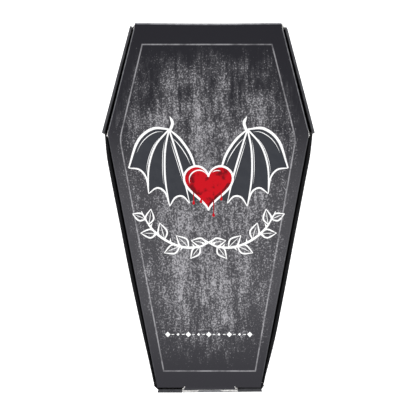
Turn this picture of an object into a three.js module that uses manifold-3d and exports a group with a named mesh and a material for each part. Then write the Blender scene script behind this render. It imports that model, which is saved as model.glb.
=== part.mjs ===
// A coffin-shaped folding carton of thin printed board, empty and shut, lying on its back.
// A tray of six walls stands on the floor panel, and the lid folds from the head wall's top edge.
// The lid's lock tab is tucked into a slot in the foot wall, and its four side flaps hang inside the walls.
// X is the width, +Y points to the head end, +Z is up, and the floor's underside is at z = 0.
import * as THREE from "three";
import { mergeVertices } from "three/addons/utils/BufferGeometryUtils.js";
import Module from "manifold-3d";

// Driving dimensions, in millimetres and degrees.
const cartonHeight = 24;
const board = 0.45; // one ply of board
const seam = 0.3; // open seam between two panels that meet

const lidLength = 128;
const lidHeadWidth = 51.5;
const lidShoulderWidth = 71;
const lidFootWidth = 36.4;
const shoulderDrop = 38.8; // from the lid's head edge to its shoulders

// The side walls are rolled over: two plies and the air between them, under one rounded fold.
const upperWallThickness = 1.05;
const upperWallGap = 0.4; // from the lid's edge to the wall, at the head end
const upperWallHeadFlare = 0.1; // how far the wall leans outwards at its top
const upperWallShoulderFlare = 0.25;
const lowerWallThickness = 1.3;
const lowerWallGap = 0.5;
const foldSteps = 4; // facets over a rounded fold

const headWallOverhang = 0.2; // how far the head wall runs past the lid's corner on each side
const footWallOverhang = 0.25;

const tabWidth = 18.6;
const tabDepth = 5; // below the lid's underside
const tabCorner = 1.6; // radius of the tab's lower corners
const tabInnerPlay = 0.1; // between the tab and the foot wall's inner ply
const tabOuterPlay = 0.2; // and its outer ply, which the tab's tip swings towards
const slotEndPlay = 0.4;

const flapDepth = 14;
const flapInset = 0.15; // from the lid's edge to the flap's outer face
const flapHeadMargin = 2.2; // from the head corner to the flap's end, along the crease
const flapShoulderMargin = 1.5;
const flapFootMargin = 4;
const flapTaper = 18; // degrees that a flap's ends lean towards its middle

// Places worked out from the sizes above.
const footWallHollow = board + tabInnerPlay + tabOuterPlay;
const footWallThickness = 2 * board + footWallHollow;
const headWallWidth = lidHeadWidth + 2 * headWallOverhang;
const footWallWidth = lidFootWidth + 2 * footWallOverhang;
const cartonLength = seam + lidLength + seam + footWallThickness;
const headY = cartonLength / 2; // the head wall's outer face, and the lid's hinge
const lidHeadY = headY - seam;
const shoulderY = lidHeadY - shoulderDrop;
const lidFootY = lidHeadY - lidLength;
const footWallInnerY = lidFootY - seam;
const footY = -cartonLength / 2;
const wallHeight = cartonHeight - board; // above the floor panel
const upperWallHeadY = headY - board - seam;

const outside = new THREE.MeshStandardMaterial({ color: 0x2c2c31, roughness: 0.55, metalness: 0 });
const inside = new THREE.MeshStandardMaterial({ color: 0x9a968e, roughness: 0.85, metalness: 0 });

const wasm = await Module();
wasm.setup();

// The edges of the lid on its right half, each as its head-end corner and how it widens towards the foot.
function lidEdge(start, end) {
  const slope = (end.x - start.x) / (start.y - end.y);
  return { start, slope, stretch: Math.hypot(1, slope), length: start.distanceTo(end) };
}

const headCorner = new THREE.Vector2(lidHeadWidth / 2, lidHeadY);
const shoulderCorner = new THREE.Vector2(lidShoulderWidth / 2, shoulderY);
const footCorner = new THREE.Vector2(lidFootWidth / 2, lidFootY);
const upperEdge = lidEdge(headCorner, shoulderCorner);
const lowerEdge = lidEdge(shoulderCorner, footCorner);

// How far from the middle a line parallel to a lid edge lies at y, with the line's distance outside the edge.
function edgeX(edge, y, offset) {
  return edge.start.x + (edge.start.y - y) * edge.slope + offset * edge.stretch;
}

const lowerWallOffset = lowerWallGap + lowerWallThickness;
const upperWallBaseX = edgeX(upperEdge, upperWallHeadY, upperWallGap + upperWallThickness);
const shoulderBaseX = edgeX(lowerEdge, shoulderY, lowerWallOffset);

function solidOf(geometry) {
  const bare = new THREE.BufferGeometry();
  bare.setAttribute("position", geometry.getAttribute("position"));
  bare.setIndex(geometry.getIndex());
  const merged = mergeVertices(bare);
  const vertProperties = merged.getAttribute("position").array;
  const triVerts = new Uint32Array(merged.getIndex().array);
  return new wasm.Manifold(new wasm.Mesh({ numProp: 3, vertProperties, triVerts }));
}

function geometryOf(solid) {
  const mesh = solid.getMesh();
  const geometry = new THREE.BufferGeometry();
  geometry.setAttribute("position", new THREE.BufferAttribute(mesh.vertProperties, 3));
  geometry.setIndex(new THREE.BufferAttribute(mesh.triVerts, 1));
  geometry.computeVertexNormals();
  return geometry;
}

// A closed body between two matching rings of points round a convex section.
function bodyBetween(front, back) {
  const count = front.length;
  const points = [...front, ...back];
  const faces = [];
  for (let i = 0; i < count; i += 1) {
    const next = (i + 1) % count;
    faces.push([i, next, count + next], [i, count + next, count + i]);
  }
  for (let i = 1; i < count - 1; i += 1) {
    faces.push([0, i + 1, i], [count, count + i, count + i + 1]);
  }
  const geometry = new THREE.BufferGeometry().setFromPoints(points);
  const middle = points.reduce((sum, p) => sum.add(p), new THREE.Vector3()).divideScalar(points.length);
  geometry.setIndex(faces.flatMap((face) => facingAwayFrom(middle, face, points)));
  geometry.computeVertexNormals();
  return geometry;
}

function facingAwayFrom(middle, [a, b, c], points) {
  const normal = new THREE.Vector3().subVectors(points[b], points[a]);
  normal.cross(new THREE.Vector3().subVectors(points[c], points[a]));
  const outwards = new THREE.Vector3().subVectors(points[a], middle);
  return normal.dot(outwards) > 0 ? [a, b, c] : [a, c, b];
}

// A flat panel with the outline of the given points of its right half, listed from head to foot.
function flatPanel(rightHalf, thickness) {
  const leftHalf = rightHalf.map((p) => new THREE.Vector2(-p.x, p.y)).reverse();
  const shape = new THREE.Shape([...rightHalf, ...leftHalf]);
  return new THREE.ExtrudeGeometry(shape, { depth: thickness, bevelEnabled: false });
}

// A shape drawn in (Y, Z) and extruded along X, centred on x = 0.
function extrudedAcross(shape, width) {
  const geometry = new THREE.ExtrudeGeometry(shape, {
    depth: width,
    bevelEnabled: false,
    curveSegments: foldSteps,
  });
  const turned = new THREE.Matrix4().makeBasis(
    new THREE.Vector3(0, 1, 0),
    new THREE.Vector3(0, 0, 1),
    new THREE.Vector3(1, 0, 0),
  );
  return geometry.applyMatrix4(turned).translate(-width / 2, 0, 0);
}

function block(width, y0, y1, z0, z1) {
  const geometry = new THREE.BoxGeometry(width, y1 - y0, z1 - z0);
  return geometry.translate(0, (y0 + y1) / 2, (z0 + z1) / 2);
}

function piece(name, geometry, material) {
  const mesh = new THREE.Mesh(geometry, material);
  mesh.name = name;
  return mesh;
}

// The section of a rolled-over side wall at y: up its outer face, over the fold and down its inner face.
function wallSection(side, y, outerBaseX, flare, width) {
  const rise = width / 2;
  const point = (across, z) => {
    const x = outerBaseX - width / 2 + across + (flare * z) / wallHeight;
    return new THREE.Vector3(side * x, y, z);
  };
  const section = [point(width / 2, 0)];
  for (let step = 0; step <= foldSteps; step += 1) {
    const angle = (Math.PI * step) / foldSteps;
    section.push(point((Math.cos(angle) * width) / 2, wallHeight - rise + Math.sin(angle) * rise));
  }
  section.push(point(-width / 2, 0));
  return section;
}

function upperWall(name, side) {
  const width = upperWallThickness * upperEdge.stretch;
  const shoulderEndY = shoulderY + seam / 2;
  return piece(
    name,
    bodyBetween(
      wallSection(side, upperWallHeadY, upperWallBaseX, upperWallHeadFlare, width),
      wallSection(side, shoulderEndY, shoulderBaseX, upperWallShoulderFlare, width),
    ),
    outside,
  );
}

function lowerWall(name, side) {
  const width = lowerWallThickness * lowerEdge.stretch;
  const ends = [shoulderY - seam / 2, lidFootY];
  const sections = ends.map((y) => wallSection(side, y, edgeX(lowerEdge, y, lowerWallOffset), 0, width));
  return piece(name, bodyBetween(...sections), outside);
}

function headWall() {
  return piece("head_wall", block(headWallWidth, headY - board, headY, 0, wallHeight - board - seam), outside);
}

// The foot wall is rolled over as well, with a hollow between its plies and a slot through its top fold.
function footWall() {
  const radius = footWallThickness / 2;
  const profile = new THREE.Shape();
  profile.moveTo(footY, 0);
  profile.lineTo(footY + board, 0);
  profile.lineTo(footY + board, wallHeight - board);
  profile.lineTo(footWallInnerY - board, wallHeight - board);
  profile.lineTo(footWallInnerY - board, 0);
  profile.lineTo(footWallInnerY, 0);
  profile.lineTo(footWallInnerY, wallHeight - radius);
  profile.absarc(footY + radius, wallHeight - radius, radius, 0, Math.PI, false);
  profile.lineTo(footY, 0);
  const slotBottom = wallHeight - board - seam;
  const slot = block(
    tabWidth + 2 * slotEndPlay,
    footY + board,
    footWallInnerY + board,
    slotBottom,
    wallHeight + board,
  );
  const wall = solidOf(extrudedAcross(profile, footWallWidth)).subtract(solidOf(slot));
  return piece("foot_wall", geometryOf(wall), outside);
}

function floorPanel() {
  const outline = [
    new THREE.Vector2(headWallWidth / 2, headY),
    new THREE.Vector2(upperWallBaseX, upperWallHeadY),
    new THREE.Vector2(shoulderBaseX, shoulderY),
    new THREE.Vector2(edgeX(lowerEdge, lidFootY, lowerWallOffset), lidFootY),
    new THREE.Vector2(footWallWidth / 2, footY),
  ];
  return piece("floor", flatPanel(outline, board), outside);
}

// The lid and what hangs from it are placed from the hinge, at the head wall's outer top corner.
function lidPanel() {
  const outline = [headCorner, shoulderCorner, footCorner].map((p) => new THREE.Vector2(p.x, p.y - headY));
  const panel = piece("lid", flatPanel(outline, board), outside);
  panel.position.z = -board;
  return panel;
}

// The lock tab: a ledge level with the lid, and a tongue with rounded corners that goes down the slot.
function lockTab() {
  const tongueInnerY = footWallInnerY - board - tabInnerPlay - headY;
  const tongueOuterY = tongueInnerY - board;
  const half = tabWidth / 2;
  const bottom = -board - tabDepth;
  const front = new THREE.Shape();
  front.moveTo(-half, 0);
  front.lineTo(-half, bottom + tabCorner);
  front.absarc(-half + tabCorner, bottom + tabCorner, tabCorner, Math.PI, 1.5 * Math.PI, false);
  front.lineTo(half - tabCorner, bottom);
  front.absarc(half - tabCorner, bottom + tabCorner, tabCorner, 1.5 * Math.PI, 2 * Math.PI, false);
  front.lineTo(half, 0);
  const standing = new THREE.Matrix4().makeBasis(
    new THREE.Vector3(1, 0, 0),
    new THREE.Vector3(0, 0, 1),
    new THREE.Vector3(0, -1, 0),
  );
  const tongue = new THREE.ExtrudeGeometry(front, {
    depth: board,
    bevelEnabled: false,
    curveSegments: foldSteps,
  });
  tongue.applyMatrix4(standing).translate(0, tongueInnerY, 0);
  const ledge = block(tabWidth, tongueOuterY, lidFootY - headY, -board, 0);
  return piece("lock_tab", geometryOf(solidOf(ledge).add(solidOf(tongue))), outside);
}

// A side flap hangs from a lid edge, and its ends lean in so that the flaps pass each other when folded flat.
function sideFlap(name, side, edge, headMargin, footMargin) {
  const length = edge.length - headMargin - footMargin;
  const lean = flapDepth * Math.tan(THREE.MathUtils.degToRad(flapTaper));
  const shape = new THREE.Shape([
    new THREE.Vector2(0, 0),
    new THREE.Vector2(lean, -flapDepth),
    new THREE.Vector2(length - lean, -flapDepth),
    new THREE.Vector2(length, 0),
  ]);
  const plate = new THREE.ExtrudeGeometry(shape, { depth: board, bevelEnabled: false });
  const flap = piece(name, plate.translate(0, 0, (-board * (1 - side)) / 2), inside);
  flap.rotation.x = Math.PI / 2;
  const crease = new THREE.Group();
  const turn = Math.atan2(-1, side * edge.slope);
  const along = new THREE.Vector2(Math.cos(turn), Math.sin(turn));
  const inwards = new THREE.Vector2(side * along.y, -side * along.x);
  crease.position.set(
    side * edge.start.x + along.x * headMargin + inwards.x * flapInset,
    edge.start.y - headY + along.y * headMargin + inwards.y * flapInset,
    -board - seam,
  );
  crease.rotation.z = turn;
  crease.add(flap);
  return crease;
}

const tray = new THREE.Group();
tray.position.z = board;
tray.add(
  headWall(),
  footWall(),
  upperWall("upper_wall_left", -1),
  upperWall("upper_wall_right", 1),
  lowerWall("lower_wall_left", -1),
  lowerWall("lower_wall_right", 1),
);

const lid = new THREE.Group();
lid.position.set(0, headY, cartonHeight);
lid.add(
  lidPanel(),
  lockTab(),
  sideFlap("upper_flap_left", -1, upperEdge, flapHeadMargin, flapShoulderMargin),
  sideFlap("upper_flap_right", 1, upperEdge, flapHeadMargin, flapShoulderMargin),
  sideFlap("lower_flap_left", -1, lowerEdge, flapShoulderMargin, flapFootMargin),
  sideFlap("lower_flap_right", 1, lowerEdge, flapShoulderMargin, flapFootMargin),
);

const carton = new THREE.Group();
carton.add(floorPanel(), tray, lid);

export default carton;
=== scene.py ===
import math

import bmesh
import bpy
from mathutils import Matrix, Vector
from mathutils.geometry import delaunay_2d_cdt


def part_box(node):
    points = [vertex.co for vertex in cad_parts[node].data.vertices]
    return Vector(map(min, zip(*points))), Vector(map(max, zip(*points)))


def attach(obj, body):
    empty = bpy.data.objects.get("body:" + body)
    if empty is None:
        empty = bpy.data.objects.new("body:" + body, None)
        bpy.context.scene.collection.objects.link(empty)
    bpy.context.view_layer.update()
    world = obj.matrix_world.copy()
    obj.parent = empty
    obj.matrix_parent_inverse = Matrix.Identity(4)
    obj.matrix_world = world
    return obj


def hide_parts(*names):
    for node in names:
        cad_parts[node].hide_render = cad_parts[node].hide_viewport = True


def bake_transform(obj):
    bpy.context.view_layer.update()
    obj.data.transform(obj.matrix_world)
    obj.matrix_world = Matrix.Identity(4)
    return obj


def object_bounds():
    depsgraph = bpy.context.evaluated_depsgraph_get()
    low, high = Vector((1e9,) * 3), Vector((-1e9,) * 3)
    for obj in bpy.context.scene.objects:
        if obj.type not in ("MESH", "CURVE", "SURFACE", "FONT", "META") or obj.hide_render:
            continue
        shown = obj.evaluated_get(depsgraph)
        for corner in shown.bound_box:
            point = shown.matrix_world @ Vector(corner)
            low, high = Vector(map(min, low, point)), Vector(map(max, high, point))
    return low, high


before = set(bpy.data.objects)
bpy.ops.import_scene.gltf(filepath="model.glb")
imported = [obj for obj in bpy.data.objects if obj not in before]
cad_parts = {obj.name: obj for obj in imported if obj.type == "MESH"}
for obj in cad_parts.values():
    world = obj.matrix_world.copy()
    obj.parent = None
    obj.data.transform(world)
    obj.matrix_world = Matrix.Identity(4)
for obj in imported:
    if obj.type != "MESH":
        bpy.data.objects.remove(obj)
cad_low, cad_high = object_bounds()

MM = 0.001
FLOOR_LOW, FLOOR_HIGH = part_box("floor")
BOARD = FLOOR_HIGH.z - FLOOR_LOW.z
HALF = BOARD / 2
TOP = cad_high.z
HEAD_Y = cad_high.y
FOOT_Y = cad_low.y


def corner_of(node, pick):
    """The corner of a flat node, on its right half, that pick values most."""
    points = [v.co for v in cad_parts[node].data.vertices if v.co.x > 0]
    best = max(points, key=pick)
    return Vector((best.x, best.y))


HEAD_CORNER = corner_of("lid", lambda p: p.y)
SHOULDER = corner_of("lid", lambda p: p.x)
FOOT_CORNER = corner_of("lid", lambda p: -p.y)
FOLD_STEPS = 8
STATION = 3 * MM  # spacing of the sections along a wall


class Edge:
    """A slanted side of the lid's right half, from its head end to its foot end."""

    def __init__(self, start, end):
        self.start = start
        self.slope = (end.x - start.x) / (start.y - end.y)
        self.stretch = math.hypot(1, self.slope)

    def x(self, y, outwards=0.0):
        """How far from the middle a line parallel to the edge lies at y."""
        return self.start.x + (self.start.y - y) * self.slope + outwards * self.stretch


UPPER_EDGE = Edge(HEAD_CORNER, SHOULDER)
LOWER_EDGE = Edge(SHOULDER, FOOT_CORNER)
FOOT_DRIFT = 0.24 * MM  # how far the made-up carton leans to the right at its foot


def on_carton(side, x, y, z):
    """A point x from the middle on one side, moved with the carton's slight lean."""
    lean = FOOT_DRIFT * max(0.0, (SHOULDER.y - y) / (SHOULDER.y - FOOT_Y))
    return Vector((side * x + lean, y, z))


def lerp(a, b, t):
    return a + (b - a) * t


def ramp(value, low, high):
    """0 below low, 1 above high and smooth between."""
    t = min(1.0, max(0.0, (value - low) / (high - low)))
    return t * t * (3 - 2 * t)


def steps_between(a, b, spacing):
    count = max(1, math.ceil(abs(b - a) / spacing))
    return [lerp(a, b, i / count) for i in range(count + 1)]


def wall_stations(a, b):
    """Places along a wall from a to b, closer together near its two ends."""
    near = [0.15 * MM, 0.35 * MM, 0.6 * MM, 1.0 * MM, 1.6 * MM]
    way = 1 if b > a else -1
    middle = steps_between(a + way * 2.4 * MM, b - way * 2.4 * MM, STATION)
    return [a, *[a + way * d for d in near], *middle, *[b - way * d for d in reversed(near)], b]


# Shader helpers

def feed(tree, value, socket):
    if isinstance(value, bpy.types.NodeSocket):
        tree.links.new(value, socket)
    else:
        socket.default_value = value


def add(tree, kind, inputs=(), **settings):
    """A new node with its settings, fed with pairs of input and value."""
    made = tree.nodes.new(kind)
    for key, value in settings.items():
        setattr(made, key, value)
    for key, value in inputs:
        feed(tree, value, made.inputs[key])
    return made


def calc(tree, operation, a, b=0.0, c=0.0, clamp=False):
    made = add(tree, "ShaderNodeMath", [(0, a), (1, b), (2, c)], operation=operation, use_clamp=clamp)
    return made.outputs[0]


def mix(tree, factor, a, b):
    made = add(tree, "ShaderNodeMix", [(0, factor), (6, a), (7, b)], data_type="RGBA")
    return made.outputs[2]


def remap(tree, value, low, high, to_low=0.0, to_high=1.0, smooth=True):
    kind = "SMOOTHSTEP" if smooth else "LINEAR"
    pairs = [(0, value), (1, low), (2, high), (3, to_low), (4, to_high)]
    return add(tree, "ShaderNodeMapRange", pairs, interpolation_type=kind).outputs[0]


def place_mm(tree, stretch=(1, 1, 1)):
    """The point on the object in millimetres, with each axis multiplied by stretch."""
    where = add(tree, "ShaderNodeTexCoord").outputs["Object"]
    scale = tuple(s / MM for s in stretch)
    return add(tree, "ShaderNodeVectorMath", [(0, where), (1, scale)], operation="MULTIPLY").outputs[0]


def noise(tree, where, scale, detail=2.0, roughness=0.5):
    pairs = [("Vector", where), ("Scale", scale), ("Detail", detail), ("Roughness", roughness)]
    return add(tree, "ShaderNodeTexNoise", pairs).outputs[0]


def drift(tree, stretch, scale, detail, roughness, reach, spread=0.20):
    """Noise made to wander by reach up and down. spread is how far it strays from its middle by itself."""
    wander = noise(tree, place_mm(tree, stretch), scale, detail, roughness)
    return remap(tree, wander, 0.5 - spread, 0.5 + spread, -reach, reach)


def grey(level, tint=(1.0, 1.0, 1.0)):
    return (level * tint[0], level * tint[1], level * tint[2], 1.0)


def new_material(name):
    """A material with its shader and node tree."""
    material = bpy.data.materials.new(name)
    material.use_nodes = True
    shader = material.node_tree.nodes["Principled BSDF"]
    return material, shader, material.node_tree


def matt_print(tree, shader, colour, height, shine):
    """Printed board's finish: a dull varnish over the paper's fibres."""
    feed(tree, colour, shader.inputs["Base Color"])
    shader.inputs["Specular IOR Level"].default_value = shine
    shader.inputs["Specular Tint"].default_value = VARNISH_TINT
    shader.inputs["Roughness"].default_value = 0.5
    paper_bump(tree, shader, height)


def paper_bump(tree, shader, height, strength=0.35):
    pairs = [("Strength", strength), ("Distance", PAPER_DEPTH), ("Height", height)]
    feed(tree, add(tree, "ShaderNodeBump", pairs).outputs[0], shader.inputs["Normal"])


COOL = (0.97, 0.98, 1.05)
BLACK_LEVEL = 0.009
# Light grey of rubbed print on folds, also laid on as a painted highlight.
WEAR_AND_HIGHLIGHT_LEVEL = 0.30
VARNISH_TINT = (0.90, 0.88, 1.0, 1)
VARNISH_SHINE = 0.19
PAPER_DEPTH = 0.012 * MM
GREYISH_BOARD = (0.65, 0.635, 0.60, 1)
WHITE_BOARD = (0.72, 0.71, 0.68, 1)
DARK_LAYER = (0.50, 0.49, 0.48, 1)
LIGHT_LAYER = (0.80, 0.79, 0.78, 1)


def fibre_height(tree):
    """The board's surface: fine fibres over a faint mottling."""
    fine = noise(tree, place_mm(tree), 3.0, 3.0, 0.6)
    long = noise(tree, place_mm(tree, (1, 0.35, 1)), 1.1, 2.0)
    return calc(tree, "ADD", fine, calc(tree, "MULTIPLY", long, 0.6))


def wear_and_highlight_tint(tree, colour):
    """Lightens the colour where the mesh's attribute says so: rubbed print on folds, and painted highlights
    where folds catch the light.
    """
    amount = add(tree, "ShaderNodeAttribute", attribute_name="wear_and_highlight").outputs["Fac"]
    patchy = remap(tree, noise(tree, place_mm(tree), 0.5, 3.0), 0.3, 0.7, 0.55, 1.0)
    return mix(tree, calc(tree, "MULTIPLY", amount, patchy, clamp=True), colour, grey(WEAR_AND_HIGHLIGHT_LEVEL, COOL))


def printed_board(name, shine):
    material, shader, tree = new_material(name)
    mottled = remap(tree, noise(tree, place_mm(tree), 0.25, 4.0), 0.3, 0.7)
    colour = mix(tree, mottled, grey(BLACK_LEVEL * 0.85, COOL), grey(BLACK_LEVEL * 1.2, COOL))
    matt_print(tree, shader, wear_and_highlight_tint(tree, colour), fibre_height(tree), shine)
    return material


def bare_board():
    material, shader, tree = new_material("bare_board")
    mottled = remap(tree, noise(tree, place_mm(tree, (1, 0.5, 1)), 0.8, 4.0), 0.35, 0.65)
    colour = mix(tree, mottled, GREYISH_BOARD, WHITE_BOARD)
    feed(tree, colour, shader.inputs["Base Color"])
    shader.inputs["Roughness"].default_value = 0.85
    paper_bump(tree, shader, fibre_height(tree), 0.5)
    return material


def cut_edge():
    material, shader, tree = new_material("cut_edge")
    layered = noise(tree, place_mm(tree, (1, 1, 6)), 1.5, 2.0)
    colour = mix(tree, remap(tree, layered, 0.35, 0.65), DARK_LAYER, LIGHT_LAYER)
    feed(tree, colour, shader.inputs["Base Color"])
    shader.inputs["Roughness"].default_value = 0.9
    paper_bump(tree, shader, layered, 0.5)
    return material


def ink(name, light, dark, share, scale, shine):
    """A flat printed colour that goes over to a darker one in patches."""
    material, shader, tree = new_material(name)
    patches = remap(tree, noise(tree, place_mm(tree), scale, 3.0, 0.6), share - 0.08, share + 0.08)
    matt_print(tree, shader, mix(tree, patches, dark, light), fibre_height(tree), shine)
    return material


# The printed frame on the lid: a worn line round a hexagon, in millimetres on the right half.
FRAME_HEAD = Vector((22.8, 57.4))
FRAME_SHOULDER = Vector((30.9, 24.2))
FRAME_FOOT = Vector((16.1, -57.35))
FRAME_ROUNDING = 1.6
LINE_HALF = 0.19
PRINT_SKEW = 0.0075  # the print's turn on the lid


def side_distance(tree, across, along, start, end):
    """How far a point lies outside the line from start to end, seen from the lid's middle."""
    direction = (end - start).normalized()
    normal = Vector((direction.y, -direction.x))
    a = calc(tree, "MULTIPLY", across, normal.x)
    b = calc(tree, "MULTIPLY_ADD", along, normal.y, a)
    return calc(tree, "SUBTRACT", b, normal.dot(start))


def frame_distance(tree, across, along):
    """How far outside the printed frame a point lies, and less than 0 inside it."""
    upper = side_distance(tree, across, along, FRAME_SHOULDER, FRAME_HEAD)
    lower = side_distance(tree, across, along, FRAME_FOOT, FRAME_SHOULDER)
    ends = calc(
        tree, "MAXIMUM",
        calc(tree, "SUBTRACT", along, FRAME_HEAD.y),
        calc(tree, "SUBTRACT", FRAME_FOOT.y, along),
    )
    sides = calc(tree, "SMOOTH_MAX", upper, lower, FRAME_ROUNDING)
    return calc(tree, "MAXIMUM", sides, ends)


# How much of the lid light specks cover, by the place along it in millimetres from its middle.
SPECK_COVER = [
    (-62.0, 0.10),
    (-54.0, 0.42),
    (-44.0, 0.55),
    (-32.0, 0.71),
    (-12.0, 0.67),
    (8.0, 0.65),
    (30.0, 0.63),
    (42.0, 0.48),
    (52.0, 0.42),
    (58.0, 0.26),
]
SPECK_LEVEL = 0.30
SPECK_SOFTNESS = 0.27
HAZE_LEVEL = 0.06
MARGIN_LIFT = 0.036
FADE_SPAN = (-9.0, 5.0)  # outside the frame, where specks grow rarer
FADE_SHARE = 0.36


def speck_cover(tree, along):
    """The share that specks cover at a place along the lid, as a ramp of greys."""
    low, high = SPECK_COVER[0][0], SPECK_COVER[-1][0]
    made = add(tree, "ShaderNodeValToRGB", [(0, remap(tree, along, low, high, smooth=False))])
    stops = made.color_ramp.elements
    for place, _ in SPECK_COVER[1:-1]:
        stops.new((place - low) / (high - low))
    for stop, (_, share) in zip(stops, SPECK_COVER):
        stop.color = grey(share)
    return made.outputs[0]


def speck_share(tree, along, outside):
    """How much of a place specks cover, in vertical runs and in patches, and less towards the frame."""
    thin_runs = drift(tree, (1, 0.09, 1), 0.9, 3.0, 0.6, 0.10)
    wide_runs = drift(tree, (1, 0.2, 1), 0.17, 3.0, 0.6, 0.10, 0.18)
    patches = drift(tree, (1, 1, 1), 0.12, 3.0, 0.65, 0.08)
    clumps = drift(tree, (1, 0.35, 1), 0.6, 2.0, 0.7, 0.11)
    share = calc(tree, "ADD", speck_cover(tree, along), calc(tree, "ADD", thin_runs, wide_runs))
    share = calc(tree, "ADD", share, calc(tree, "ADD", patches, clumps))
    ragged = calc(tree, "MULTIPLY_ADD", thin_runs, 8.0, outside)
    return calc(tree, "SUBTRACT", share, remap(tree, ragged, *FADE_SPAN, 0.0, FADE_SHARE, smooth=False))


def specks(tree, along, outside):
    """How light the stone texture is: fine specks over a faint haze."""
    grain = noise(tree, place_mm(tree, (1, 0.8, 1)), 2.0, 2.0, 0.8)
    share = speck_share(tree, along, outside)
    threshold = remap(tree, share, 0.0, 1.0, 0.70, 0.30, smooth=False)
    light = remap(tree, grain, threshold, calc(tree, "ADD", threshold, SPECK_SOFTNESS))
    strength = remap(tree, outside, -0.5, 3.5, SPECK_LEVEL, SPECK_LEVEL * 0.25)
    haze = calc(tree, "MULTIPLY", remap(tree, share, 0.15, 0.95), HAZE_LEVEL)
    # Lighter over the lid's lower middle, fading out towards the head and the foot.
    from_head, from_foot = remap(tree, along, 40.0, 0.0), remap(tree, along, -64.0, -25.0)
    margin_lift = calc(tree, "MULTIPLY", calc(tree, "MULTIPLY", from_head, from_foot), MARGIN_LIFT)
    return calc(tree, "MULTIPLY_ADD", light, strength, calc(tree, "MAXIMUM", haze, margin_lift))


def stone_print():
    """The lid's print: dark margins, a worn frame line, and streaked stone inside it, with painted sheen
    lightening the margins towards the foot.
    """
    material, shader, tree = new_material("stone_print")
    here = add(tree, "ShaderNodeSeparateXYZ", [(0, place_mm(tree))])
    along = here.outputs[1]
    across = calc(tree, "ABSOLUTE", calc(tree, "MULTIPLY_ADD", along, PRINT_SKEW, here.outputs[0]))
    outside = frame_distance(tree, across, along)
    # Painted sheen: the margins' black grows lighter from the head towards the foot.
    margin_sheen_gradient = remap(tree, along, 60.0, -60.0, BLACK_LEVEL * 0.6, BLACK_LEVEL * 1.5, smooth=False)
    level = calc(tree, "ADD", specks(tree, along, outside), margin_sheen_gradient)
    line = remap(tree, calc(tree, "ABSOLUTE", outside), LINE_HALF * 1.6, LINE_HALF * 0.7)
    line_wear = remap(tree, noise(tree, place_mm(tree), 0.22, 4.0, 0.7), 0.35, 0.62, 0.08, 0.24)
    level = calc(tree, "MULTIPLY_ADD", line, line_wear, level)
    tinted = add(tree, "ShaderNodeCombineColor", [
        (0, level),
        (1, calc(tree, "MULTIPLY", level, 0.985)),
        (2, calc(tree, "MULTIPLY_ADD", level, 1.03, 0.002)),
    ])
    matt_print(tree, shader, wear_and_highlight_tint(tree, tinted.outputs[0]), fibre_height(tree), VARNISH_SHINE)
    return material


PRINTED = printed_board("printed_board", VARNISH_SHINE)
DULL = printed_board("dull_board", 0.05)
BARE = bare_board()
CUT = cut_edge()
STONE = stone_print()
WHITE_INK = ink("white_ink", (0.90, 0.90, 0.90, 1), (0.55, 0.55, 0.56, 1), 0.34, 0.8, 0.2)
DARK_INK = ink("dark_ink", (0.026, 0.029, 0.034, 1), (0.022, 0.025, 0.030, 1), 0.5, 0.3, 0.2)
RED_INK = ink("red_ink", (0.50, 0.004, 0.010, 1), (0.16, 0.003, 0.006, 1), 0.44, 0.28, 0.05)
DEEP_RED_INK = ink("deep_red_ink", (0.20, 0.004, 0.008, 1), (0.08, 0.002, 0.004, 1), 0.45, 0.3, 0.05)

# What each piece is finished with: its print side, its bare side and its cut edges.
BOARD_MATERIALS = [PRINTED, BARE, CUT]
ROLLED_MATERIALS = [PRINTED, PRINTED, CUT]
DULL_ROLLED_MATERIALS = [DULL, DULL, CUT]
MARGIN_MATERIALS = [STONE, BARE, CUT]
# Cut edges given the printed black, where they show dark.
PRINT_EDGED_MATERIALS = [PRINTED, BARE, PRINTED]
PRINT_SIDE, BARE_SIDE, CUT_SIDE = range(3)
RAW_ENDS = (CUT_SIDE, CUT_SIDE)
# Ends given the printed black, where they show dark.
PRINTED_ENDS = (PRINT_SIDE, PRINT_SIDE)


# Mesh helpers

SHARP_ANGLE = math.radians(38)


def new_piece(name, points, faces, sides, materials, wear_and_highlight=None):
    """A closed mesh from points and faces, each face with the index of its material."""
    mesh = bpy.data.meshes.new(name)
    mesh.from_pydata([tuple(p) for p in points], [], faces)
    for material in materials:
        mesh.materials.append(material)
    mesh.polygons.foreach_set("material_index", sides)
    if wear_and_highlight is not None:
        mesh.attributes.new("wear_and_highlight", "FLOAT", "POINT").data.foreach_set("value", wear_and_highlight)
    tidy = bmesh.new()
    tidy.from_mesh(mesh)
    bmesh.ops.recalc_face_normals(tidy, faces=tidy.faces)
    tidy.to_mesh(mesh)
    tidy.free()
    mesh.shade_smooth()
    mesh.set_sharp_from_angle(angle=SHARP_ANGLE)
    obj = bpy.data.objects.new(name, mesh)
    bpy.context.scene.collection.objects.link(obj)
    return obj


def arc(centre_u, centre_z, radius, start, end, steps=FOLD_STEPS, wear_and_highlight=1.0):
    """Points of a bend in a strip's middle line, lightened most at its middle by rubbed print and painted
    highlight. Angles are in degrees.
    """
    points = []
    for i in range(steps + 1):
        angle = math.radians(lerp(start, end, i / steps))
        rub_and_highlight = wear_and_highlight * math.sin(math.pi * i / steps)
        points.append((centre_u + radius * math.cos(angle), centre_z + radius * math.sin(angle), rub_and_highlight))
    return points


def board_section(path):
    """Both faces of a strip of board with the given middle line, the printed face first."""
    outer, inner = [], []
    for i, (u, z, wear_and_highlight) in enumerate(path):
        before = path[max(i - 1, 0)]
        after = path[min(i + 1, len(path) - 1)]
        du, dz = after[0] - before[0], after[1] - before[1]
        length = math.hypot(du, dz)
        nu, nz = dz / length * HALF, -du / length * HALF
        outer.append((u + nu, z + nz, wear_and_highlight))
        inner.append((u - nu, z - nz, 0.0))
    return outer, inner


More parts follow.
